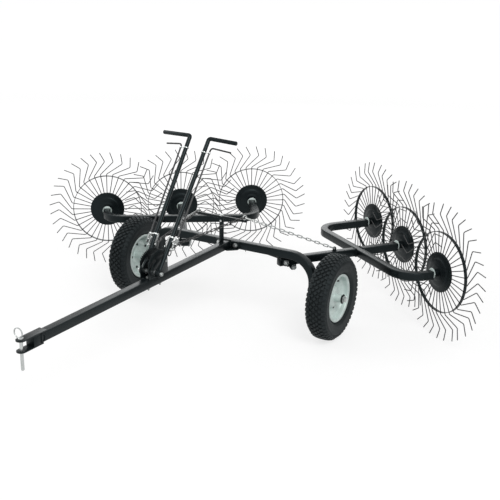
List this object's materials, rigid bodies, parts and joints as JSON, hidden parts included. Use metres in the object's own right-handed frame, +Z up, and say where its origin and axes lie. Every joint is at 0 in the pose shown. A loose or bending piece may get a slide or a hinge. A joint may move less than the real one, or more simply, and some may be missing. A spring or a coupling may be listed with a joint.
{
  "type": "towed six-wheel V rake",
  "caption": "Towed V rake: square-tube drawbar and arched axle on two tyres, with a lifting arm of tined rake wheels on each side, hand levers and lift chains.",
  "frame": {"origin": "on the ground at the middle of the footprint", "axes": "+Z up, -Y towards the hitch, +X towards the machine's left side"},
  "size_m": [2.4782, 2.5248, 0.946],
  "materials": {
    "black_paint": "satin black powder coat",
    "zinc": "bright zinc plate",
    "tine_wire": "dull spring steel wire",
    "rim_paint": "pale silver grey paint",
    "tyre": "matt black rubber"
  },
  "bodies": {
    "chassis": {"drawbar": "black_paint", "clevis": "black_paint", "hitch_pin": "zinc", "axle_beam": "black_paint", "guide_post": "black_paint", "joint_bracket": "black_paint", "lever_bolt": "zinc", "axle_nut_left": "zinc", "sector_left": "black_paint", "lift_hinge_left": "black_paint", "lift_pivot_left": "zinc", "rest_bolt_left": "zinc", "lift_chain_left": "zinc", "axle_nut_right": "zinc", "sector_right": "black_paint", "lift_hinge_right": "black_paint", "lift_pivot_right": "zinc", "rest_bolt_right": "zinc", "lift_chain_right": "zinc"},
    "road_wheel_left": {"tyre_left": "tyre", "rim_left": "rim_paint"},
    "road_wheel_right": {"tyre_right": "tyre", "rim_right": "rim_paint"},
    "rake_arm_left": {"rake_frame_left": "black_paint", "hub_bolts_left": "zinc"},
    "rake_wheel_left_front": {"tines_left_front": "tine_wire", "hub_disc_left_front": "black_paint"},
    "rake_wheel_left_middle": {"tines_left_middle": "tine_wire", "hub_disc_left_middle": "black_paint"},
    "rake_wheel_left_rear": {"tines_left_rear": "tine_wire", "hub_disc_left_rear": "black_paint"},
    "lever_left": {"lever_left": "black_paint", "trigger_left": "black_paint"},
    "rake_arm_right": {"rake_frame_right": "black_paint", "hub_bolts_right": "zinc"},
    "rake_wheel_right_front": {"tines_right_front": "tine_wire", "hub_disc_right_front": "black_paint"},
    "rake_wheel_right_middle": {"tines_right_middle": "tine_wire", "hub_disc_right_middle": "black_paint"},
    "rake_wheel_right_rear": {"tines_right_rear": "tine_wire", "hub_disc_right_rear": "black_paint"},
    "lever_right": {"lever_right": "black_paint", "trigger_right": "black_paint"}
  },
  "joints": [
    {"name": "road_wheel_left_spin", "type": "hinge", "parent": "chassis", "child": "road_wheel_left", "pos_m": [0.5586, 0.1805, 0.203], "axis": [1, 0, 0], "continuous": true},
    {"name": "road_wheel_right_spin", "type": "hinge", "parent": "chassis", "child": "road_wheel_right", "pos_m": [-0.5586, 0.1805, 0.203], "axis": [1, 0, 0], "continuous": true},
    {"name": "rake_lift_left", "type": "hinge", "parent": "chassis", "child": "rake_arm_left", "pos_m": [0.28473, 0.20747, 0.319], "axis": [0.8118, -0.584, 0], "range_deg": [0, 30], "deforming": ["lift_chain_left"]},
    {"name": "rake_wheel_left_front_spin", "type": "hinge", "parent": "rake_arm_left", "child": "rake_wheel_left_front", "pos_m": [0.97486, 0.45106, 0.325], "axis": [0.584, 0.8118, 0], "continuous": true},
    {"name": "rake_wheel_left_middle_spin", "type": "hinge", "parent": "rake_arm_left", "child": "rake_wheel_left_middle", "pos_m": [0.683, 0.7611, 0.325], "axis": [0.584, 0.8118, 0], "continuous": true},
    {"name": "rake_wheel_left_rear_spin", "type": "hinge", "parent": "rake_arm_left", "child": "rake_wheel_left_rear", "pos_m": [0.39114, 1.07114, 0.325], "axis": [0.584, 0.8118, 0], "continuous": true},
    {"name": "lever_left_pull", "type": "hinge", "parent": "chassis", "child": "lever_left", "pos_m": [0.0405, -0.4695, 0.412], "axis": [1, 0, 0], "range_deg": [0, 41.16]},
    {"name": "rake_lift_right", "type": "hinge", "parent": "chassis", "child": "rake_arm_right", "pos_m": [-0.28473, 0.20747, 0.319], "axis": [0.8118, 0.584, 0], "range_deg": [0, 30], "deforming": ["lift_chain_right"]},
    {"name": "rake_wheel_right_front_spin", "type": "hinge", "parent": "rake_arm_right", "child": "rake_wheel_right_front", "pos_m": [-0.97486, 0.45106, 0.325], "axis": [-0.584, 0.8118, 0], "continuous": true},
    {"name": "rake_wheel_right_middle_spin", "type": "hinge", "parent": "rake_arm_right", "child": "rake_wheel_right_middle", "pos_m": [-0.683, 0.7611, 0.325], "axis": [-0.584, 0.8118, 0], "continuous": true},
    {"name": "rake_wheel_right_rear_spin", "type": "hinge", "parent": "rake_arm_right", "child": "rake_wheel_right_rear", "pos_m": [-0.39114, 1.07114, 0.325], "axis": [-0.584, 0.8118, 0], "continuous": true},
    {"name": "lever_right_pull", "type": "hinge", "parent": "chassis", "child": "lever_right", "pos_m": [-0.0405, -0.4695, 0.412], "axis": [1, 0, 0], "range_deg": [0, 41.16]}
  ],
  "couplings": [
    {"joint": "lever_left_pull", "follows": "rake_lift_left", "ratio": 1.372},
    {"joint": "lever_right_pull", "follows": "rake_lift_right", "ratio": 1.372}
  ]
}
